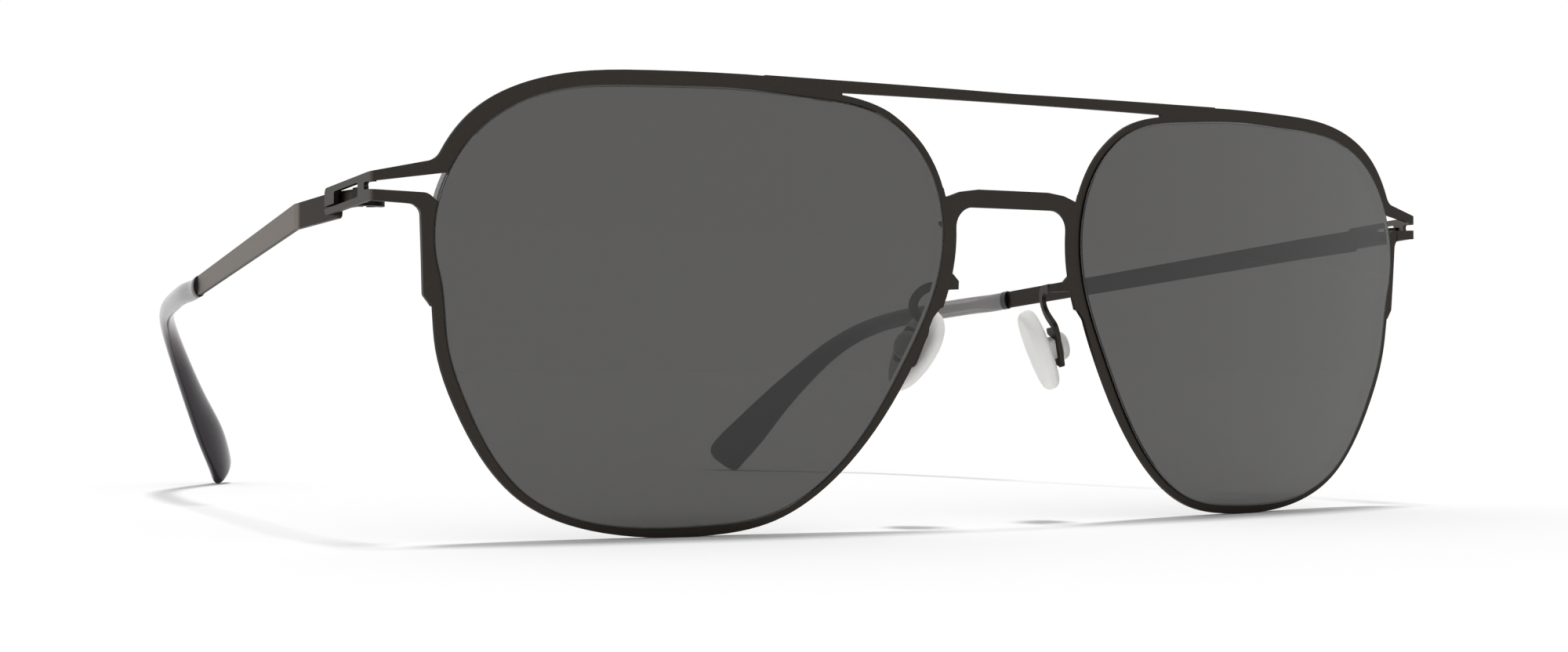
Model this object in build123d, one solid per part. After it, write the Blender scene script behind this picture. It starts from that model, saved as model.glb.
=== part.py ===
from build123d import *
import math
import os

# Double-bridge aviator sunglasses in etched and folded sheet metal, in millimetres.
# The model is drawn with x = 0 on the nose, -Y to the front, +Z up and z = 0 under the rims.
# Everything on one side is made for the wearer's left (+X) and mirrored to the right.

# ---------------------------------------------------------------- driving dimensions
sheet = 0.5                 # thickness of the front, the arms and the temples
face_radius = 272.0         # the front is a shell of this radius
face_apex_z = 40.7          # height at which the shell stands furthest forward
face_apex_y = -0.3

lens_width = 56.1
lens_height = 46.1
nose_distance = 18.7        # between the two lenses
lens_thickness = 1.9
lens_proud = 0.36           # lens front surface ahead of the sheet's front surface
lens_bevel = 0.16
groove_depth = 0.22
groove_play = 0.03          # sheet in groove, on each side and at the bottom
rim_bottom = 0.95           # rim width under the lens, which stands the rim on z = 0

# the lens outline, counterclockwise: side (1 outer, 0 middle, -1 nose) and place across from it,
# level (1 top, 0 middle, -1 bottom) and height from it, and the width of rim outside the lens
lens_points = [
    (1, -0.15, 0, 3.5, 1.0),
    (1, -0.55, 1, -10.75, 1.35),
    (1, -4.55, 1, -4.65, 1.68),
    (1, -11.95, 1, -0.95, 1.52),
    (0, 6.7, 1, -0.15, 1.60),
    (0, -2.3, 1, 0.0, 1.53),
    (0, -11.8, 1, -0.55, 1.60),
    (-1, 7.25, 1, -2.35, 0.75),
    (-1, 1.55, 1, -8.15, 0.82),
    (-1, 0.35, 0, 4.8, 0.80),
    (-1, 4.35, 0, -5.3, 1.15),
    (-1, 10.95, -1, 7.35, 0.81),
    (0, -8.7, -1, 1.25, 0.79),
    (0, -0.4, -1, 0.05, 0.96),
    (0, 9.2, -1, 0.35, 0.75),
    (1, -10.05, -1, 3.55, 0.67),
    (1, -3.35, -1, 12.95, 1.0),
    (1, -1.17, 0, -3.8, 1.0),
]

brow_height = 1.1
brow_half_slot = 22.0       # the slot under the brow bar ends here, each side of the nose
brow_above_lens = 1.2       # top edge of the brow bar above the lens
brow_rise = 0.35            # rise of the brow bar's top edge over the lenses
brow_seam_drop = 0.05       # the bar's lower seam, below its lower edge
slot_round = 0.3
upper_rim_width = 0.75      # rim between the slot and the lens

bridge_top_above = 9.65     # nose bridge below the top of the lens
bridge_height = 2.0
bridge_blend = 2.2          # corner radius between the bridge and the nose side of the rim
bridge_level = 4.55         # the bridge's top edge falls within this distance of the lens
bridge_fall = 1.1
bridge_seam_inset = 3.95    # the bridge piece ends this far from the lens
cheek_width = 1.75          # wide rim beside the nose
cheek_length = 13.1         # from the bridge's top edge down to the step
cheek_step = 2.1
cheek_round = 1.0
hinge_cheek_width = 1.65    # wide rim below the fork, at its upper end
hinge_cheek_low_width = 1.22
hinge_cheek_length = 9.4
hinge_cheek_step = 1.15

end_reach = 6.55            # from the lens to the outside of the folded-back plate
fork_seam_gap = 2.15        # from the lens to the start of the end piece
fork_root_gap = 1.15        # from the lens to the place where the upper prong meets the rim
fold_radius = 0.85
fork_below_top = 9.75       # upper prong at the fold, below the top of the lens
upper_prong = 1.0           # heights at the fold
fork_gap = 0.75
lower_prong = 1.07
fork_rise = 1.15            # rise of the upper prong towards the rim
fork_dip = 0.35             # fall of the lower prong towards the rim
fork_top_round = 1.8        # blends of the two prongs into the rim
fork_low_round = 1.2
slot_flare = 0.95           # growth of the fork slot towards the lens
slot_mouth = 1.0            # the lower prong's upper edge falls away by this much at the lens
slot_mouth_round = 1.2
plate_length = 12.75        # folded-back plate, from fold to rear end
plate_drop = 0.95           # fall of the plate's edges towards its rear end
plate_round = 0.6
post_start = 1.65           # the fork slot ends this far behind the fold
post_width = 1.7            # strip between fork slot and plate window
plate_rail = 0.68           # rails above and below the window
rear_bar = 2.7
rear_slit = 0.25            # parts the lower rail from the rear bar

hinge_inset = 2.2           # hinge axis inside the plate's outer face
hinge_behind_fold = 6.0
clip_sheet = 0.4
roll_play = 0.06            # running clearance in the rolled hinge
roll_radius = 1.18          # outside of the temple's inner roll
roll_drop = 0.3             # the rolls reach this far below the lower prong
roll_height = 1.3
clip_open_from = 12.0       # degrees, opening in the clip roll for the temple strip
clip_open_to = 160.0
clip_foot_length = 3.4
clip_foot_drop = 0.1
clip_foot_height = 1.65

temple_start = 4.8          # full-height temple begins this far behind the hinge
temple_kink = 16.2          # kink behind the hinge
temple_kink_inset = 0.1     # outside of the temple at the kink, inside the plate's outer face
temple_end = 73.7           # front end of the tip behind the hinge
temple_end_inset = 7.3
temple_drop_front = 1.25    # temple's upper edge below the fork: at its front, kink and end
temple_drop_kink = 2.0
temple_drop_end = 7.95
temple_height_front = 2.8
temple_height_end = 2.5
strip_rise = 0.5            # strip above the rolls
core_root_height = 2.2      # metal core inside the collar
core_height = 1.1
core_taper = 6.0            # the core narrows over this length
core_end_gap = 6.0          # metal core ends this far from the end of the tip
core_play = 0.03
core_overlap = 0.5          # the core starts this far inside the strip
collar_length = 1.1
collar_extra = 0.05

# middle line of the acetate tip behind its front end: inwards, back, down
tip_path = [
    (0.0, 0.0, 0.0),
    (0.85, 9.2, 0.75),
    (2.35, 18.7, 1.65),
    (4.35, 28.1, 3.1),
    (7.7, 36.3, 6.55),
    (11.7, 42.5, 12.2),
    (15.7, 47.3, 18.25),
    (18.85, 50.7, 23.2),
    (20.8, 53.6, 26.93),
]
tip_start_heading = (-0.07, 0.99, -0.1)
tip_end_heading = (-0.33, 0.43, -0.84)
# height and thickness of the tip at those points
tip_sections = [
    (2.7, 1.55),
    (2.75, 1.75),
    (2.75, 1.9),
    (2.75, 1.95),
    (3.1, 2.15),
    (3.95, 2.5),
    (5.2, 2.85),
    (6.3, 3.0),
    (6.5, 2.65),
]
tip_round = 2.2             # length of the rounded end

arm_width = 0.92            # pad arm, cut from the same sheet
arm_root_inset = 1.9        # arm root from the lens towards the nose
arm_below_bridge = 10.6     # arm root below the bridge's top edge
tab_slope = 0.8             # the tab's upper edge climbs to the rim at 45 degrees by this much
arm_straight = 3.0          # straight run behind the rim before the arm's fold
arm_turn = 20.9             # degrees that the arm turns outwards at its fold
arm_lean = 14.3             # degrees that its lower end leans outwards
# middle line of the arm in its own plane, back and up from the fold
arm_line = [
    (0.9, 0.0),
    (2.9, -0.35),
    (4.0, -1.9),
    (3.1, -3.4),
    (1.5, -4.75),
]
hook_bar = 0.8
hook_round = 0.7            # outer lower corner of the hook
claw_round = 0.3
hook_reach = 3.4            # claws, from the outside of the bar
hook_gap = 2.5              # between the two claws
hook_tilt = 16.7            # degrees
hook_corner = (1.1, -5.5)   # outer upper corner of the hook

pad_length_up = 4.4         # pad outline above and below its widest place
pad_length_down = 5.7
pad_width = 5.7
pad_thickness = 1.9
pad_round = 0.8
pad_gap = 0.9               # pad back to the middle of the arm
pad_tilt = 10.0             # degrees that the pad's lower end leans to the arm
pad_rise = 1.0              # widest place of the pad above the stud's middle
pad_shift = 0.35            # pad middle to stud middle, away from the bar
stud_neck_width = 2.1
stud_neck_round = 0.5
stud_neck_gap = 0.08        # to the claws and the bar of the hook
stud_head_radius = 1.65
stud_head = 0.95
stud_head_round = 0.7
stud_head_gap = 0.45        # head to the middle of the arm
stud_plate_radius = 1.9
stud_plate = 0.6            # flat foot of the stud, moulded into the pad
stud_play = 0.03

overcut = 0.6               # how far a cutting body runs past what it cuts
beyond = 200.0              # larger than the glasses in any direction


# ---------------------------------------------------------------- small helpers
def face_y(x, z):
    """Front surface of the sheet."""
    return face_apex_y + face_radius - math.sqrt(face_radius ** 2 - x ** 2 - (z - face_apex_z) ** 2)


def shell(ahead, thickness):
    """Part of the shell whose front stands ahead of the sheet's front surface."""
    centre = Pos(0, face_apex_y + face_radius, face_apex_z)
    outer = centre * Sphere(face_radius + ahead)
    inner = centre * Sphere(face_radius + ahead - thickness)
    return outer - inner


def prism(sketch):
    """Sketch in x and z, run through the front along Y."""
    return extrude(Plane.XZ * sketch, amount=beyond / 4, both=True)


def outline(extra):
    """Lens outline grown by extra(width), as a closed smooth face."""
    flat = []
    for side, across, level, up, width in lens_points:
        x = (nose_distance + lens_width) / 2 + side * lens_width / 2 + across
        z = rim_bottom + lens_height / 2 + level * lens_height / 2 + up
        flat.append((x, z))
    count = len(flat)
    grown = []
    for i, (x, z) in enumerate(flat):
        before = flat[i - 1]
        after = flat[(i + 1) % count]
        run_x = after[0] - before[0]
        run_z = after[1] - before[1]
        length = math.hypot(run_x, run_z)
        distance = extra(lens_points[i][4])
        grown.append((x + distance * run_z / length, z - distance * run_x / length))
    return make_face(Spline(*grown, periodic=True))


def mirrored(solid):
    return mirror(solid, about=Plane.YZ)


def sheet_band(points, thickness, radius):
    """Plan outline of a folded sheet: points on its outside, thickness to their right."""
    count = len(points)
    band = make_face(Polyline(*points, *reversed(offset_line(points, thickness)), close=True))
    corners = band.vertices()
    for x, y in points[1:count - 1]:
        corner = corners.sort_by(lambda v: math.hypot(v.X - x, v.Y - y))[0]
        band = fillet(corner, radius)
        corners = band.vertices()
    for x, y in offset_line(points, thickness)[1:count - 1]:
        corner = corners.sort_by(lambda v: math.hypot(v.X - x, v.Y - y))[0]
        band = fillet(corner, max(radius - thickness, 0.1))
        corners = band.vertices()
    return band


def offset_line(points, distance):
    """Polyline moved to its right by distance."""
    normals = []
    for a, b in zip(points, points[1:]):
        length = math.hypot(b[0] - a[0], b[1] - a[1])
        normals.append(((b[1] - a[1]) / length, -(b[0] - a[0]) / length))
    moved = []
    for i, (x, y) in enumerate(points):
        first = normals[max(i - 1, 0)]
        second = normals[min(i, len(normals) - 1)]
        spread = 1 + first[0] * second[0] + first[1] * second[1]
        step_x = distance * (first[0] + second[0]) / spread
        step_y = distance * (first[1] + second[1]) / spread
        moved.append((x + step_x, y + step_y))
    return moved


def box_between(low, high):
    size = [b - a for a, b in zip(low, high)]
    middle = [(a + b) / 2 for a, b in zip(low, high)]
    return Pos(*middle) * Box(*size)


def patch(x_low, x_high, z_low, z_high):
    """Rectangle in the front's x and z."""
    return Pos((x_low + x_high) / 2, (z_low + z_high) / 2) * Rectangle(x_high - x_low, z_high - z_low)


def polygon(*points):
    return make_face(Polyline(*points, close=True))


def side_prism(points, x_low, x_high):
    """Outline in y and z, run from x_low to x_high."""
    plane = Plane(origin=(x_low, 0, 0), x_dir=(0, 1, 0), z_dir=(1, 0, 0))
    return extrude(plane * polygon(*points), amount=x_high - x_low)


def round_corners(sketch, spots, radius):
    for x, z in spots:
        corner = sketch.vertices().sort_by(lambda v: math.hypot(v.X - x, v.Y - z))[0]
        sketch = fillet(corner, radius)
    return sketch


# ---------------------------------------------------------------- the front, drawn flat
lens_nose = nose_distance / 2
lens_outer = lens_nose + lens_width
lens_top = rim_bottom + lens_height
lens_face = outline(lambda width: 0)
rim_face = outline(lambda width: width)
groove_floor_face = outline(lambda width: -groove_depth)
rim_hole = outline(lambda width: groove_play - groove_depth)

brow_top = lens_top + brow_above_lens
brow_low = brow_top - brow_height
brow_seam = brow_half_slot + 2.5
brow_end = brow_half_slot + 9
brow_face = polygon(
    (0, brow_top), (brow_half_slot + 2, brow_top + 0.7 * brow_rise), (brow_end, brow_top + brow_rise),
    (brow_end, lens_top), (brow_half_slot, brow_low), (0, brow_low),
)
bridge_top = lens_top - bridge_top_above
bridge_low = bridge_top - bridge_height
under_brow = patch(lens_nose - 5, brow_half_slot, bridge_top, brow_low)
under_brow = under_brow - outline(lambda width: upper_rim_width)

bridge_face = polygon(
    (0, bridge_top), (lens_nose - bridge_level, bridge_top), (lens_nose - bridge_level / 2, bridge_top - 0.3),
    (lens_nose, bridge_top - bridge_fall), (lens_nose, bridge_low), (0, bridge_low),
)
cheek_low = bridge_top - cheek_length
cheek_face = outline(lambda width: cheek_width) & polygon(
    (0, cheek_low), (lens_nose + 0.1, cheek_low), (lens_nose + 1.9, cheek_low - cheek_step),
    (lens_nose + 9, cheek_low - cheek_step), (lens_nose + 9, bridge_top - 0.9), (0, bridge_top - 0.9),
)

fold_x = lens_outer + end_reach
fork_seam_x = lens_outer + fork_seam_gap
fork_root_x = lens_outer + fork_root_gap
fork_top = lens_top - fork_below_top
fork_slot_top = fork_top - upper_prong
fork_slot_bottom = fork_slot_top - fork_gap
fork_bottom = fork_slot_bottom - lower_prong
hinge_cheek_x = lens_outer + hinge_cheek_width
hinge_cheek_low_x = lens_outer + hinge_cheek_low_width
hinge_cheek_low = fork_bottom - hinge_cheek_length
hinge_cheek_face = polygon(
    (lens_outer - 1, fork_bottom), (hinge_cheek_x, fork_bottom), (hinge_cheek_low_x, hinge_cheek_low),
    (hinge_cheek_low_x - 0.85, hinge_cheek_low - hinge_cheek_step), (lens_outer - 1, hinge_cheek_low - hinge_cheek_step),
)
fork_face = polygon(
    (lens_outer - 1, fork_top + fork_rise + 0.4), (fork_root_x, fork_top + fork_rise),
    (fold_x + 1, fork_top - 0.2), (fold_x + 1, fork_bottom), (fork_seam_x + 1, fork_bottom - 0.75 * fork_dip),
    (lens_outer + 0.5, fork_bottom - fork_dip - 0.15), (lens_outer - 1, fork_bottom - fork_dip),
)
mouth_x = lens_outer + 0.95
slot_face = polygon(
    (fold_x + 2, fork_slot_top - 0.2), (fold_x, fork_slot_top), (lens_outer - 0.25, fork_slot_top + slot_flare),
    (lens_outer - 4, fork_slot_top + slot_flare + 0.5), (lens_outer - 4, fork_slot_bottom - slot_mouth - 0.4),
    (mouth_x - 1.1, fork_slot_bottom - slot_mouth - 0.25), (mouth_x, fork_slot_bottom - 0.25),
    (fold_x, fork_slot_bottom), (fold_x + 2, fork_slot_bottom),
)
slot_face = round_corners(slot_face, [(mouth_x, fork_slot_bottom - 0.25)], slot_mouth_round)

front_face = rim_face + cheek_face + hinge_cheek_face + fork_face + bridge_face
front_face = round_corners(front_face, [(lens_nose - cheek_width, bridge_low)], bridge_blend)
front_face = round_corners(front_face, [(lens_nose + 0.1, cheek_low)], cheek_round / 2)
front_face = round_corners(front_face, [(lens_nose + 1.1, cheek_low - 1.1)], cheek_round)
front_face = round_corners(front_face, [(fork_root_x - 0.6, fork_top + fork_rise + 0.1)], fork_top_round)
front_face = round_corners(front_face, [(hinge_cheek_x, fork_bottom - fork_dip)], fork_low_round)
front_face = round_corners(front_face, [(hinge_cheek_low_x, hinge_cheek_low)], cheek_round / 2)
front_face = front_face + brow_face - under_brow - rim_hole - slot_face

sheet_shell = shell(0, sheet)
bridge_seam = lens_nose - bridge_seam_inset
brow_zone = patch(-1, brow_seam, brow_low - brow_seam_drop, brow_top + overcut)
bridge_zone = patch(-1, bridge_seam, bridge_low - 2, bridge_top + 2)
end_zone = patch(fork_seam_x, fold_x + 5, fork_bottom - 5, fork_top + 5)


def both_sides(face):
    return face + mirror(face, about=Plane.YZ)


left_rim_face = front_face - brow_zone - bridge_zone - end_zone
rim_left = sheet_shell & prism(left_rim_face)
rim_right = sheet_shell & prism(mirror(left_rim_face, about=Plane.YZ))
brow_bar = sheet_shell & prism(both_sides(front_face & brow_zone))
nose_bridge = sheet_shell & prism(both_sides(front_face & bridge_zone))

# ---------------------------------------------------------------- lens with its groove
def lens(side_face, ring_face):
    blank = shell(lens_proud, lens_thickness) & prism(side_face)
    blank = chamfer(blank.edges().sort_by(Axis.Y)[0:1], lens_bevel)
    return blank - (shell(groove_play, sheet + 2 * groove_play) & prism(ring_face))


ring_face = rim_face - groove_floor_face
lens_left = lens(lens_face, ring_face)
lens_right = lens(mirror(lens_face, about=Plane.YZ), mirror(ring_face, about=Plane.YZ))

# ---------------------------------------------------------------- end piece: fork, fold and plate
fold_slope = 0.264
seam_y = face_y(fork_seam_x, fork_top)
fold_y = seam_y + (fold_x - fork_seam_x) * fold_slope
plate_rear = fold_y + plate_length
band_path = [(fold_x, plate_rear), (fold_x, fold_y), (fork_seam_x - overcut, seam_y - overcut * fold_slope)]
end_band = sheet_band(band_path, sheet, fold_radius)
end_strip = extrude(end_band, amount=beyond / 2) & box_between((fork_seam_x, -beyond, 0), (beyond, beyond, beyond))
turn_y = fold_y + 0.3
inside_x = fold_x - sheet - overcut
outside_x = fold_x + overcut

fork_part = end_strip & box_between((0, -beyond, 0), (beyond, turn_y, beyond))
fork_part = fork_part & prism(front_face)


def plate_edge(height, y):
    """Height of a plate edge at y; the edges fall towards the rear."""
    return height - plate_drop * (y - turn_y) / (plate_rear - turn_y)


def plate_outline(y_low, y_high, low, high):
    return [
        (y_low, plate_edge(low, y_low)), (y_high, plate_edge(low, y_high)),
        (y_high, plate_edge(high, y_high)), (y_low, plate_edge(high, y_low)),
    ]


plate = end_strip & side_prism(plate_outline(turn_y, plate_rear, fork_bottom, fork_top), inside_x, outside_x)
plate = fillet(plate.edges().filter_by(Axis.X).sort_by(Axis.Y)[-2:], plate_round)
slot_end = fold_y + post_start
window_front = slot_end + post_width
window_rear = plate_rear - rear_bar
slot_cut = box_between((inside_x, turn_y - 0.5, fork_slot_bottom), (outside_x, slot_end, fork_slot_top))
slot_cut = fillet(slot_cut.edges().filter_by(Axis.X).sort_by(Axis.Y)[-2:], slot_round)
window = side_prism(
    plate_outline(window_front, window_rear, fork_bottom + plate_rail, fork_top - plate_rail), inside_x, outside_x
)
window = fillet(window.edges().filter_by(Axis.X), slot_round)
rail_top = fork_bottom + plate_rail
slit = side_prism(
    plate_outline(window_rear - overcut, plate_rear + overcut, rail_top, rail_top + rear_slit), inside_x, outside_x
)
end_piece_left = fork_part + (plate - slot_cut - window - slit)

# ---------------------------------------------------------------- rolled hinge
hinge_x = fold_x - hinge_inset
hinge_y = fold_y + hinge_behind_fold
clip_inner = roll_radius + roll_play
clip_outer = clip_inner + clip_sheet
roll_bottom = fork_bottom - roll_drop
roll_top = roll_bottom + roll_height


def wedge(radius, start, end):
    """Sector in plan about the hinge axis, from start to end degrees."""
    middle = Pos(hinge_x, hinge_y)
    spots = [(0, 0)]
    steps = 12
    for i in range(steps + 1):
        angle = math.radians(start + (end - start) * i / steps)
        spots.append((radius * math.cos(angle), radius * math.sin(angle)))
    return middle * make_face(Polyline(*spots, close=True))


hinge_spot = Pos(hinge_x, hinge_y)
clip_ring = hinge_spot * (Circle(clip_outer) - Circle(clip_inner)) - wedge(5, clip_open_from, clip_open_to)
plate_inside = fold_x - sheet
foot = Pos(plate_inside - clip_sheet / 2, hinge_y - clip_foot_length / 2) * Rectangle(clip_sheet, clip_foot_length)
foot = foot - hinge_spot * Circle(clip_inner + clip_sheet / 2)
hinge_clip_left = extrude(Pos(0, 0, roll_bottom) * clip_ring, amount=roll_height)
hinge_clip_left = hinge_clip_left + extrude(Pos(0, 0, fork_bottom - clip_foot_drop) * foot, amount=clip_foot_height)

# ---------------------------------------------------------------- tip: middle line, sections
temple_end_y = hinge_y + temple_end
temple_end_x = fold_x - temple_end_inset
temple_end_z = fork_top - temple_drop_end - temple_height_end / 2
tip_points = [
    Vector(temple_end_x - sheet / 2 - inward, temple_end_y + back, temple_end_z - down)
    for inward, back, down in tip_path
]
tip_line = Spline(*tip_points, tangents=[Vector(*tip_start_heading), Vector(*tip_end_heading)])
tip_length = tip_line.length


def tip_plane(along):
    """Cross-section plane at a distance along the middle line; its y is the height."""
    share = max(along, 0) / tip_length
    heading = tip_line % share
    thick = Vector(0, 0, 1).cross(heading) * -1
    origin = tip_line @ share + heading * min(along, 0)
    return Plane(origin=origin, x_dir=thick.normalized(), z_dir=heading)


stations = [tip_line.param_at_point(point) * tip_length for point in tip_points]


def size_slope(station, kind):
    """Growth per millimetre of the height (0) or thickness (1) at a station."""
    before = max(station - 1, 0)
    after = min(station + 1, len(stations) - 1)
    return (tip_sections[after][kind] - tip_sections[before][kind]) / (stations[after] - stations[before])


def tip_size(along):
    """Height and thickness at a distance along the middle line, smooth through the stations."""
    span = 0
    while span < len(stations) - 2 and along > stations[span + 1]:
        span = span + 1
    length = stations[span + 1] - stations[span]
    t = min(max((along - stations[span]) / length, 0), 1)
    sizes = []
    for kind in (0, 1):
        rise = tip_sections[span + 1][kind] - tip_sections[span][kind]
        leave = size_slope(span, kind) * length
        arrive = size_slope(span + 1, kind) * length
        wave = t * (1 - t) * (leave * (1 - t) - arrive * t)
        sizes.append(tip_sections[span][kind] + rise * t * t * (3 - 2 * t) + wave)
    return sizes


def tip_body():
    sections = []
    straight = tip_length - tip_round
    steps = 11
    for i in range(steps + 1):
        along = straight * i / steps
        height, thick = tip_size(along)
        sections.append(tip_plane(along) * Ellipse(thick / 2, height / 2))
    height, thick = tip_size(straight)
    for share in (0.35, 0.65, 0.86, 0.97):
        thinner = math.sqrt(1 - share ** 2)
        lower = (1 - share ** 3) ** (1 / 3)
        sections.append(tip_plane(straight + share * tip_round) * Ellipse(thick / 2 * thinner, height / 2 * lower))
    return loft(sections)


def core_body(play):
    """Metal core from the front of the collar: nearly full height there, then narrow."""
    stops = [-collar_length - core_overlap, 0.6, core_taper / 2, core_taper]
    last = tip_length - core_end_gap + play
    steps = 8
    for i in range(1, steps + 1):
        stops.append(core_taper + (last - core_taper) * i / steps)
    sections = []
    for along in stops:
        share = min(max((along - 0.6) / (core_taper - 0.6), 0), 1)
        ease = share * share * (3 - 2 * share)
        height = core_root_height + (core_height - core_root_height) * ease
        sections.append(tip_plane(along) * Rectangle(sheet + 2 * play, height + 2 * play))
    return loft(sections)


# ---------------------------------------------------------------- temple
body_y = hinge_y + temple_start
kink_y = hinge_y + temple_kink
strip_front = hinge_y + 0.9
strip_top = roll_top + strip_rise
kink_x = fold_x - temple_kink_inset
strip_end = temple_end_y - collar_length - core_play


def temple_top(y):
    """Upper edge of the temple: two straight runs that meet at the kink."""
    if y < kink_y:
        share = (y - body_y) / (kink_y - body_y)
        return fork_top - temple_drop_front - (temple_drop_kink - temple_drop_front) * share
    share = (y - kink_y) / (temple_end_y - kink_y)
    return fork_top - temple_drop_kink - (temple_drop_end - temple_drop_kink) * share


def temple_bottom(y):
    share = (y - body_y) / (temple_end_y - body_y)
    return temple_top(y) - temple_height_front - (temple_height_end - temple_height_front) * share


def temple_strip(play):
    """Flat strip from the roll to the tip."""
    plan = [
        (temple_end_x + play, temple_end_y), (kink_x + play, kink_y), (hinge_x + roll_radius + play, hinge_y),
    ]
    band = polygon(*plan, *reversed(offset_line(plan, sheet + 2 * play)))
    side = [
        (hinge_y, roll_bottom - play), (body_y, roll_bottom - play), (body_y, temple_bottom(body_y) - play),
        (kink_y, temple_bottom(kink_y) - play), (strip_end, temple_bottom(strip_end) - play),
        (strip_end, temple_top(strip_end) + play), (kink_y, temple_top(kink_y) + play),
        (body_y, temple_top(body_y) + play), (body_y, strip_top + play),
        (strip_front, strip_top + play), (strip_front, roll_top + play), (hinge_y, roll_top + play),
    ]
    return extrude(band, amount=beyond / 2) & side_prism(side, 0, beyond)


temple_roll = hinge_spot * (Circle(roll_radius) - Circle(roll_radius - sheet)) - wedge(5, 62, 100)
temple_left = temple_strip(0) + extrude(Pos(0, 0, roll_bottom) * temple_roll, amount=roll_height)
front_corner = temple_left.edges().filter_by(Axis.X, tolerance=8)
front_corner = front_corner.sort_by(lambda e: math.hypot(e.center().Y - body_y, e.center().Z - temple_bottom(body_y)))
temple_left = fillet(front_corner[0], 0.5) + core_body(0)

metal = temple_strip(core_play) + core_body(core_play)
tip_left = tip_body() - metal
collar_face = tip_plane(0) * Ellipse(tip_sections[0][1] / 2 + collar_extra, tip_sections[0][0] / 2 + collar_extra)
tip_collar_left = extrude(collar_face, amount=-collar_length) - metal

# ---------------------------------------------------------------- nose-pad arm
turn = math.radians(arm_turn)
lean = math.radians(arm_lean)
arm_along = Vector(math.sin(turn), math.cos(turn), 0)
arm_up = Vector(-math.sin(lean) * math.cos(turn), math.sin(lean) * math.sin(turn), math.cos(lean))
arm_out = arm_along.cross(arm_up)
arm_root_x = lens_nose - arm_root_inset
arm_root_z = bridge_top - arm_below_bridge
arm_fold = Vector(arm_root_x, arm_straight, arm_root_z)
arm_plane = Plane(origin=arm_fold, x_dir=arm_along, z_dir=arm_out)
hook_length = hook_gap + 2 * hook_bar
hook_spot = Pos(*hook_corner) * Rot(0, 0, hook_tilt)
hook = hook_spot * (Pos(hook_bar / 2, -hook_length / 2) * Rectangle(hook_bar, hook_length))
for claw in (-hook_bar / 2, hook_bar / 2 - hook_length):
    hook = hook + hook_spot * (Pos(hook_reach / 2, claw) * Rectangle(hook_reach, hook_bar))
bar_top = hook_spot * Pos(hook_bar / 2, -0.4)
arm_curve = Spline((-0.2, 0), *arm_line, (bar_top.position.X, bar_top.position.Y), tangents=[(1, 0), (0.1, -1)])
arm_edges = []
for side in (arm_width / 2, -arm_width / 2):
    beside = []
    for i in range(17):
        spot = arm_curve @ (i / 16)
        heading = arm_curve % (i / 16)
        beside.append((spot.X - side * heading.Y, spot.Y + side * heading.X))
    arm_edges.append(beside)
arm_face = make_face([
    Spline(*arm_edges[0]), Line(arm_edges[0][-1], arm_edges[1][-1]),
    Spline(*arm_edges[1]), Line(arm_edges[1][0], arm_edges[0][0]),
])
arm_face = arm_face + hook
for spot, radius in (
    (Pos(0, -hook_length), hook_round), (Pos(hook_reach, 0), claw_round), (Pos(hook_reach, -hook_bar), claw_round),
    (Pos(hook_reach, hook_bar - hook_length), claw_round), (Pos(hook_reach, -hook_length), claw_round),
):
    place = (hook_spot * spot).position
    arm_face = round_corners(arm_face, [(place.X, place.Y)], radius)
arm_blade = extrude(arm_plane * arm_face, amount=sheet / 2, both=True)
half_sheet = sheet / 2
half_width = arm_width / 2
arm_root = box_between(
    (arm_root_x - half_sheet, -1, arm_root_z - half_width), (arm_root_x + half_sheet, arm_straight + 0.1, arm_root_z + half_width)
)
tab_low = arm_root_z - half_width
tab_high = arm_root_z + half_width
tab_face = polygon(
    (arm_root_x - half_sheet, tab_high), (arm_root_x - half_sheet, tab_low), (lens_nose, tab_low),
    (lens_nose, tab_high + tab_slope), (arm_root_x - half_sheet + tab_slope, tab_high + tab_slope),
)
behind_face = shell(0, 6) & arm_root
pad_arm_left = behind_face + (sheet_shell & prism(tab_face)) + arm_blade - rim_left

# ---------------------------------------------------------------- nose pad and its stud
stud_spot = hook_spot * Pos(hook_bar + stud_neck_gap + stud_neck_width / 2, -hook_length / 2)
stud_plane = arm_plane * Location(stud_spot.position, stud_spot.orientation)
neck_length = hook_gap - 2 * stud_neck_gap
plate_level = -pad_gap - pad_thickness / 2


def stud(play):
    """Stud through the hook, with its foot inside the pad."""
    neck = RectangleRounded(stud_neck_width + 2 * play, neck_length + 2 * play, stud_neck_round)
    neck = extrude(Pos(0, 0, plate_level) * neck, amount=stud_head_gap + 0.1 - plate_level)
    head = extrude(Pos(0, 0, stud_head_gap) * Circle(stud_head_radius), amount=stud_head)
    head = fillet(head.edges().sort_by(Axis.Z)[-1], stud_head_round)
    foot_disc = extrude(Pos(0, 0, plate_level) * Circle(stud_plate_radius + play), amount=stud_plate / 2 + play, both=True)
    return neck + head + foot_disc


upper_half = Ellipse(pad_width / 2, pad_length_up) & Pos(0, beyond / 2) * Rectangle(beyond, beyond)
lower_half = Ellipse(pad_width / 2, pad_length_down) & Pos(0, -beyond / 2) * Rectangle(beyond, beyond)
pad_blank = extrude(Pos(pad_shift, pad_rise, -pad_gap) * (upper_half + lower_half), amount=-pad_thickness)
pad_blank = fillet(pad_blank.edges(), pad_round)
pad_blank = Rot(-pad_tilt, 0, 0) * pad_blank
pad_stud_left = stud_plane * stud(0)
nose_pad_left = stud_plane * (pad_blank - stud(stud_play))

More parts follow.
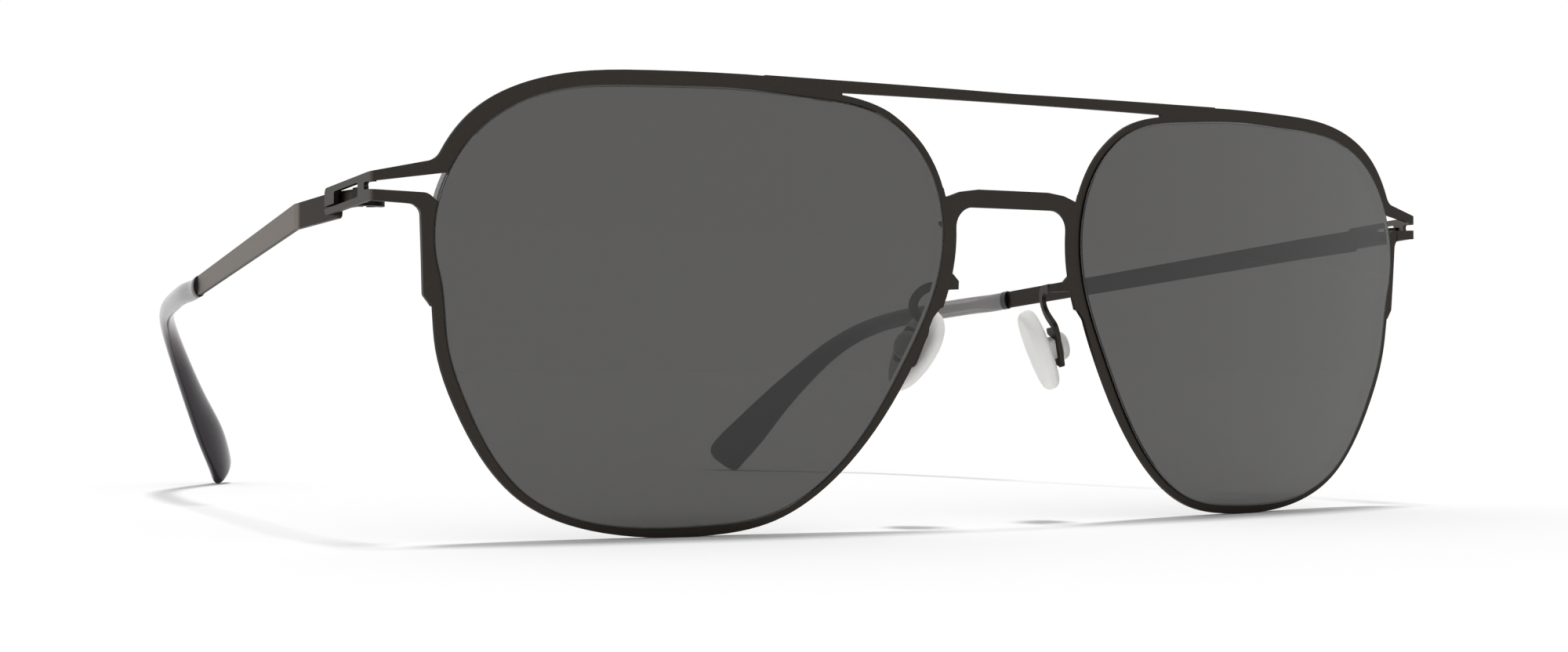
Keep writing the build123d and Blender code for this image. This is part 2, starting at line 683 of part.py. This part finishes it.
# ---------------------------------------------------------------- write the pieces
whole = {
    "brow_bar": brow_bar,
    "nose_bridge": nose_bridge,
    "rim_left": rim_left,
    "rim_right": rim_right,
    "lens_left": lens_left,
    "lens_right": lens_right,
}
sided = {
    "end_piece": end_piece_left,
    "hinge_clip": hinge_clip_left,
    "temple": temple_left,
    "tip_collar": tip_collar_left,
    "temple_tip": tip_left,
    "pad_arm": pad_arm_left,
    "pad_stud": pad_stud_left,
    "nose_pad": nose_pad_left,
}
for name, solid in sided.items():
    whole[name + "_left"] = solid
    whole[name + "_right"] = mirrored(solid)
front_most = lens_left.bounding_box().min.Y
rear_most = tip_left.bounding_box().max.Y
to_middle = Pos(0, -(front_most + rear_most) / 2, 0)
os.makedirs("parts", exist_ok=True)
for name, solid in whole.items():
    export_step(to_middle * solid, f"parts/{name}.step")
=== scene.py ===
import math

import bmesh
import bpy
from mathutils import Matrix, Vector


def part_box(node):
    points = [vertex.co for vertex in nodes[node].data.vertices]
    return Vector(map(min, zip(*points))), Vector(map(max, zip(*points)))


# Double-bridge aviator sunglasses, in metres: X towards the wearer's left, the front
# facing -Y, Z up, standing on both rims and both tips at Z = 0.

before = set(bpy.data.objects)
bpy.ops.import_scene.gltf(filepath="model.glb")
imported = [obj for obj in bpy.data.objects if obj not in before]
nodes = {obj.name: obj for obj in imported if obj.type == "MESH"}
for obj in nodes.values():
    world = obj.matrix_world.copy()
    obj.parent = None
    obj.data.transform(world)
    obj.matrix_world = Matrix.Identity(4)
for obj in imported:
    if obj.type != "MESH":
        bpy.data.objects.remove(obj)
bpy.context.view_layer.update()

# ---------------------------------------------------------------- picture and camera
# A 55 mm lens a quarter of a metre away, low, and about thirty degrees round to the
# wearer's right, so that the right temple and its tip show past the right lens.
front_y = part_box("lens_right")[0][1]
camera_place = Vector((-0.15924, front_y - 0.21409, 0.01816))
camera_aim = Vector((-0.02996, front_y + 0.0005, 0.02198))
camera_data = bpy.data.cameras.new("studio_camera")
camera = bpy.data.objects.new("studio_camera", camera_data)
bpy.context.collection.objects.link(camera)
camera_data.lens = 54.9
camera_data.sensor_width = 36.0
camera_data.clip_start = 0.005
camera_data.shift_x = 0.0015
camera_data.shift_y = 0.001
camera.location = camera_place
camera.rotation_euler = (camera_aim - camera_place).to_track_quat("-Z", "Y").to_euler()
bpy.context.scene.camera = camera
bpy.context.scene.view_settings.view_transform = "Standard"

# ---------------------------------------------------------------- table and daylight
# A white table in a white room, under a broad light straight above, so that the
# shadows lie right under the rims, the temples and the tips. Together the room and
# the light bring the open table to plain white, as far as it reaches.
room_light = 0.52
overhead_light = 0.5
overhead_spread = math.radians(9)
overhead_lean = (math.radians(-3), math.radians(2), 0)
table_reach = 6.0
white = (1, 1, 1, 1)


def add_node(tree, kind, settings, links):
    """Adds a node, sets its sockets and properties, and links its inputs."""
    node = tree.nodes.new(kind)
    for key, value in settings.items():
        if isinstance(key, int) or key in node.inputs:
            node.inputs[key].default_value = value
        else:
            setattr(node, key, value)
    for key, source in links.items():
        tree.links.new(source, node.inputs[key])
    return node


def new_material(name):
    """Empty node material and its tree."""
    material = bpy.data.materials.new(name)
    material.use_nodes = True
    material.node_tree.nodes.clear()
    return material, material.node_tree


def finish_material(material, tree, shader):
    """Sends a shader to the material's surface."""
    add_node(tree, "ShaderNodeOutputMaterial", {}, {"Surface": shader.outputs[0]})
    return material


# What is seen of the room, straight, mirrored or through the lenses, is plain white.
# What it lights is lit by less.
world = bpy.data.worlds.new("white_room")
bpy.context.scene.world = world
world.use_nodes = True
room = world.node_tree
room.nodes.clear()
path = add_node(room, "ShaderNodeLightPath", {}, {})
straight_or_mirrored = add_node(
    room, "ShaderNodeMath", {"operation": "MAXIMUM"},
    {0: path.outputs["Is Camera Ray"], 1: path.outputs["Is Glossy Ray"]},
)
seen = add_node(
    room, "ShaderNodeMath", {"operation": "MAXIMUM"},
    {0: straight_or_mirrored.outputs[0], 1: path.outputs["Is Transmission Ray"]},
)
glow = add_node(room, "ShaderNodeBackground", {"Color": white, "Strength": room_light}, {})
backdrop = add_node(room, "ShaderNodeBackground", {"Color": white, "Strength": 1.0}, {})
mixed = add_node(
    room, "ShaderNodeMixShader", {}, {0: seen.outputs[0], 1: glow.outputs[0], 2: backdrop.outputs[0]}
)
add_node(room, "ShaderNodeOutputWorld", {}, {"Surface": mixed.outputs[0]})

# The lamp lights the glasses but isn't mirrored in them, so that no hard glint runs
# along a lens's bevel.
lamp_data = bpy.data.lights.new("overhead_light", "SUN")
lamp_data.energy = overhead_light * math.pi
lamp_data.angle = overhead_spread
lamp = bpy.data.objects.new("overhead_light", lamp_data)
lamp.rotation_euler = overhead_lean
lamp.visible_glossy = False
lamp.visible_transmission = False
bpy.context.collection.objects.link(lamp)

table_mesh = bmesh.new()
bmesh.ops.create_circle(table_mesh, cap_ends=True, segments=64, radius=table_reach)
table_data = bpy.data.meshes.new("table")
table_mesh.to_mesh(table_data)
table_mesh.free()
table = bpy.data.objects.new("table", table_data)
bpy.context.collection.objects.link(table)
material, tree = new_material("white_matt_board")
board = add_node(tree, "ShaderNodeBsdfDiffuse", {"Color": white}, {})
table_data.materials.append(finish_material(material, tree, board))

# ---------------------------------------------------------------- front and pad arms
# One sheet of spring steel, etched to shape, folded at the ends and plated in satin
# black-brown. The rims sit in a groove round each lens, with no screws or solder.
# The sideways faces of the folded-back ends are painted lighter than the front, a painted highlight.
mm_per_metre = 1000
plating_grain = 1 / 6  # millimetres, coarser than real plating, so that it shows
plating_depth = 0.00002
folded_ends_from = 0.066
steel_edge_tint = (0.6, 0.6, 0.6, 1.0)  # dark steel mirrors less than white at the edge


def linear(hex_colour):
    """sRGB hex string to linear red, green, blue and one."""
    parts = [int(hex_colour[i:i + 2], 16) / 255 for i in (1, 3, 5)]
    curved = [c / 12.92 if c <= 0.04045 else ((c + 0.055) / 1.055) ** 2.4 for c in parts]
    return (*curved, 1.0)


def dress(node_names, material):
    """Gives a finish to solids of the frame."""
    for name in node_names:
        mesh = nodes[name].data
        mesh.materials.clear()
        mesh.materials.append(material)


sheet_nodes = ["brow_bar", "nose_bridge"]
for side in ("left", "right"):
    sheet_nodes += [f"rim_{side}", f"end_piece_{side}", f"pad_arm_{side}"]
material, tree = new_material("plated_spring_steel")
place = add_node(tree, "ShaderNodeTexCoord", {}, {})
grain = add_node(
    tree, "ShaderNodeTexNoise", {"Scale": mm_per_metre / plating_grain, "Detail": 3.0},
    {"Vector": place.outputs["Object"]},
)
plating = add_node(tree, "ShaderNodeValToRGB", {}, {"Fac": grain.outputs["Fac"]})
plating.color_ramp.elements[0].color = linear("#2f2b28")
plating.color_ramp.elements[1].color = linear("#3c3834")
# Painted highlight: faces of the folded-back ends that point sideways get the lighter #5d5a55 mixed in.
spot = add_node(tree, "ShaderNodeSeparateXYZ", {}, {"Vector": place.outputs["Object"]})
facing = add_node(tree, "ShaderNodeSeparateXYZ", {}, {"Vector": place.outputs["Normal"]})
turned = add_node(tree, "ShaderNodeMath", {"operation": "ABSOLUTE"}, {0: facing.outputs["X"]})
sidelong = add_node(
    tree, "ShaderNodeMapRange", {"From Min": 0.55, "From Max": 0.95}, {"Value": turned.outputs[0]}
)
aside = add_node(tree, "ShaderNodeMath", {"operation": "ABSOLUTE"}, {0: spot.outputs["X"]})
at_end = add_node(
    tree, "ShaderNodeMath", {"operation": "GREATER_THAN", 1: folded_ends_from}, {0: aside.outputs[0]}
)
painted_end_highlight = add_node(
    tree, "ShaderNodeMath", {"operation": "MULTIPLY"}, {0: sidelong.outputs[0], 1: at_end.outputs[0]}
)
# 5d5a55 is the painted highlight of the folded-back ends, not a finish of the steel.
tone = add_node(
    tree, "ShaderNodeMixRGB", {"Color2": linear("#5d5a55")},
    {"Fac": painted_end_highlight.outputs[0], "Color1": plating.outputs["Color"]},
)
rough = add_node(
    tree, "ShaderNodeMapRange", {"To Min": 0.3, "To Max": 0.42}, {"Value": grain.outputs["Fac"]}
)
bump = add_node(
    tree, "ShaderNodeBump", {"Strength": 0.15, "Distance": plating_depth}, {"Height": grain.outputs["Fac"]}
)
steel = add_node(
    tree, "ShaderNodeBsdfPrincipled", {"Metallic": 1.0, "Specular Tint": steel_edge_tint},
    {"Base Color": tone.outputs["Color"], "Roughness": rough.outputs[0], "Normal": bump.outputs[0]},
)
dress(sheet_nodes, finish_material(material, tree, steel))

# ---------------------------------------------------------------- hinge clips
# C-shaped rolls of thin spring steel behind the fork, which hold the temples' rolled
# ends. Bare satin steel, painted dark as a painted shade for the shadow behind the fork.
clip_grain = 0.2  # millimetres
material, tree = new_material("shade_painted_spring_steel")
place = add_node(tree, "ShaderNodeTexCoord", {}, {})
grain = add_node(
    tree, "ShaderNodeTexNoise", {"Scale": mm_per_metre / clip_grain, "Detail": 2.0},
    {"Vector": place.outputs["Object"]},
)
rough = add_node(
    tree, "ShaderNodeMapRange", {"To Min": 0.3, "To Max": 0.45}, {"Value": grain.outputs["Fac"]}
)
# Painted shade: the near-black base colour stands for the shadow behind the fork.
clip_steel = add_node(
    tree, "ShaderNodeBsdfPrincipled",
    {"Base Color": linear("#2b2826"), "Metallic": 1.0, "Specular Tint": steel_edge_tint},
    {"Roughness": rough.outputs[0]},
)
dress(["hinge_clip_left", "hinge_clip_right"], finish_material(material, tree, clip_steel))

# ---------------------------------------------------------------- temples
# Flat spring-steel strips with a rolled front end, brushed along their length. The
# plating is dark; the outer face behind the kink is painted grey-brown, a painted reflection
# of the white room, while the inner face and the short run in front of the kink keep the dark plating. The
# narrow core runs on inside the tip.
brush_mark = (1 / 4, 20 / 3, 1 / 9)  # millimetres across, along and up the strip, drawn coarse
brush_depth = 0.00002
clip_to_kink = 0.0146
kink_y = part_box("hinge_clip_left")[1][1] + clip_to_kink
before_kink = 0.0006
past_kink = 0.0002
material, tree = new_material("brushed_plated_steel")
place = add_node(tree, "ShaderNodeTexCoord", {}, {})
stretch = add_node(
    tree, "ShaderNodeMapping", {"Scale": [mm_per_metre / size for size in brush_mark]},
    {"Vector": place.outputs["Object"]},
)
grain = add_node(
    tree, "ShaderNodeTexNoise", {"Scale": 1.0, "Detail": 3.0}, {"Vector": stretch.outputs[0]}
)
# Painted reflection: the grey-brown outer tone stands for the room mirrored in the outer face behind the
# kink; the inner tone is the dark plating itself.
painted_reflection_tone = add_node(tree, "ShaderNodeValToRGB", {}, {"Fac": grain.outputs["Fac"]})
painted_reflection_tone.color_ramp.elements[0].color = linear("#7a726b")
painted_reflection_tone.color_ramp.elements[1].color = linear("#867e77")
inner_tone = add_node(tree, "ShaderNodeValToRGB", {}, {"Fac": grain.outputs["Fac"]})
inner_tone.color_ramp.elements[0].color = linear("#322e2b")
inner_tone.color_ramp.elements[1].color = linear("#3d3935")
spot = add_node(tree, "ShaderNodeSeparateXYZ", {}, {"Vector": place.outputs["Object"]})
facing = add_node(tree, "ShaderNodeSeparateXYZ", {}, {"Vector": place.outputs["Normal"]})
side_sign = add_node(tree, "ShaderNodeMath", {"operation": "SIGN"}, {0: spot.outputs["X"]})
outward = add_node(
    tree, "ShaderNodeMath", {"operation": "MULTIPLY"}, {0: side_sign.outputs[0], 1: facing.outputs["X"]}
)
outer = add_node(
    tree, "ShaderNodeMapRange", {"From Min": 0.1, "From Max": 0.6}, {"Value": outward.outputs[0]}
)
behind = add_node(
    tree, "ShaderNodeMapRange",
    {"From Min": kink_y - before_kink, "From Max": kink_y + past_kink, "To Min": 0.08},
    {"Value": spot.outputs["Y"]},
)
# Mask of the painted reflection: outward-facing and behind the kink.
lit = add_node(
    tree, "ShaderNodeMath", {"operation": "MULTIPLY"}, {0: outer.outputs[0], 1: behind.outputs[0]}
)
tone = add_node(
    tree, "ShaderNodeMixRGB", {},
    {"Fac": lit.outputs[0], "Color1": inner_tone.outputs["Color"], "Color2": painted_reflection_tone.outputs["Color"]},
)
rough = add_node(
    tree, "ShaderNodeMapRange", {"To Min": 0.28, "To Max": 0.42}, {"Value": grain.outputs["Fac"]}
)
bump = add_node(
    tree, "ShaderNodeBump", {"Strength": 0.2, "Distance": brush_depth}, {"Height": grain.outputs["Fac"]}
)
strip = add_node(
    tree, "ShaderNodeBsdfPrincipled", {"Metallic": 1.0, "Specular Tint": steel_edge_tint},
    {"Base Color": tone.outputs["Color"], "Roughness": rough.outputs[0], "Normal": bump.outputs[0]},
)
dress(["temple_left", "temple_right"], finish_material(material, tree, strip))

# ---------------------------------------------------------------- lenses
# Cast nylon, tinted grey right through and polished, so that what lies behind shows
# darker but sharp. The edge is bevelled in front and grooved for the rim.
material, tree = new_material("tinted_nylon")
nylon = add_node(
    tree, "ShaderNodeBsdfPrincipled",
    {"Base Color": linear("#4c4b4a"), "Roughness": 0.01, "IOR": 1.5, "Transmission Weight": 1.0}, {},
)
dress(["lens_left", "lens_right"], finish_material(material, tree, nylon))

# ---------------------------------------------------------------- collars
# Short black rings that close the front of the tips round the strips. The mould's
# fine texture leaves a soft sheen.
collar_grain = 0.4  # millimetres
material, tree = new_material("black_moulded_nylon")
place = add_node(tree, "ShaderNodeTexCoord", {}, {})
grain = add_node(
    tree, "ShaderNodeTexNoise", {"Scale": mm_per_metre / collar_grain}, {"Vector": place.outputs["Object"]}
)
rough = add_node(
    tree, "ShaderNodeMapRange", {"To Min": 0.25, "To Max": 0.4}, {"Value": grain.outputs["Fac"]}
)
ring = add_node(
    tree, "ShaderNodeBsdfPrincipled", {"Base Color": linear("#121113")}, {"Roughness": rough.outputs[0]}
)
dress(["tip_collar_left", "tip_collar_right"], finish_material(material, tree, ring))

# ---------------------------------------------------------------- tips
# Cellulose acetate, tumbled to a gloss: almost clear grey where it starts, and dyed
# deeper and deeper violet-black below the bend. The steel core shows through it.
dye_starts = 0.027
dye_full = 0.019
dye_drift = 0.003
dye_cloud = 50 / 11  # millimetres
material, tree = new_material("polished_acetate")
place = add_node(tree, "ShaderNodeTexCoord", {}, {})
spot = add_node(tree, "ShaderNodeSeparateXYZ", {}, {"Vector": place.outputs["Object"]})
cloud = add_node(
    tree, "ShaderNodeTexNoise", {"Scale": mm_per_metre / dye_cloud, "Detail": 2.0},
    {"Vector": place.outputs["Object"]},
)
height = add_node(
    tree, "ShaderNodeMath", {"operation": "MULTIPLY_ADD", 1: dye_drift},
    {0: cloud.outputs["Fac"], 2: spot.outputs["Z"]},
)
dye = add_node(
    tree, "ShaderNodeMapRange", {"From Min": dye_starts, "From Max": dye_full}, {"Value": height.outputs[0]}
)
tone = add_node(tree, "ShaderNodeValToRGB", {}, {"Fac": dye.outputs[0]})
tone.color_ramp.elements[0].color = linear("#9a9595")
tone.color_ramp.elements[1].color = linear("#1e131d")
middle = tone.color_ramp.elements.new(0.5)
middle.color = linear("#4d4149")
clear = add_node(
    tree, "ShaderNodeMapRange", {"To Min": 0.55, "To Max": 0.25}, {"Value": dye.outputs[0]}
)
acetate = add_node(
    tree, "ShaderNodeBsdfPrincipled",
    {"Roughness": 0.15, "IOR": 1.49, "Specular IOR Level": 0.35, "Coat Weight": 0.2, "Coat Roughness": 0.03},
    {"Base Color": tone.outputs["Color"], "Transmission Weight": clear.outputs[0]},
)
dress(["temple_tip_left", "temple_tip_right"], finish_material(material, tree, acetate))

# ---------------------------------------------------------------- pads and studs
# Milky silicone pads, moulded round a stud whose head clips into the arm's hook. The
# stud is clear plastic with a frosted skin.
material, tree = new_material("frosted_silicone")
silicone = add_node(
    tree, "ShaderNodeBsdfPrincipled",
    {"Base Color": linear("#faf9f6"), "Roughness": 0.5, "IOR": 1.35, "Transmission Weight": 0.15}, {},
)
dress(["nose_pad_left", "nose_pad_right"], finish_material(material, tree, silicone))

material, tree = new_material("clear_polycarbonate")
stud = add_node(
    tree, "ShaderNodeBsdfPrincipled",
    {"Base Color": linear("#f2f1ed"), "Roughness": 0.4, "IOR": 1.4, "Transmission Weight": 0.4}, {},
)
dress(["pad_stud_left", "pad_stud_right"], finish_material(material, tree, stud))
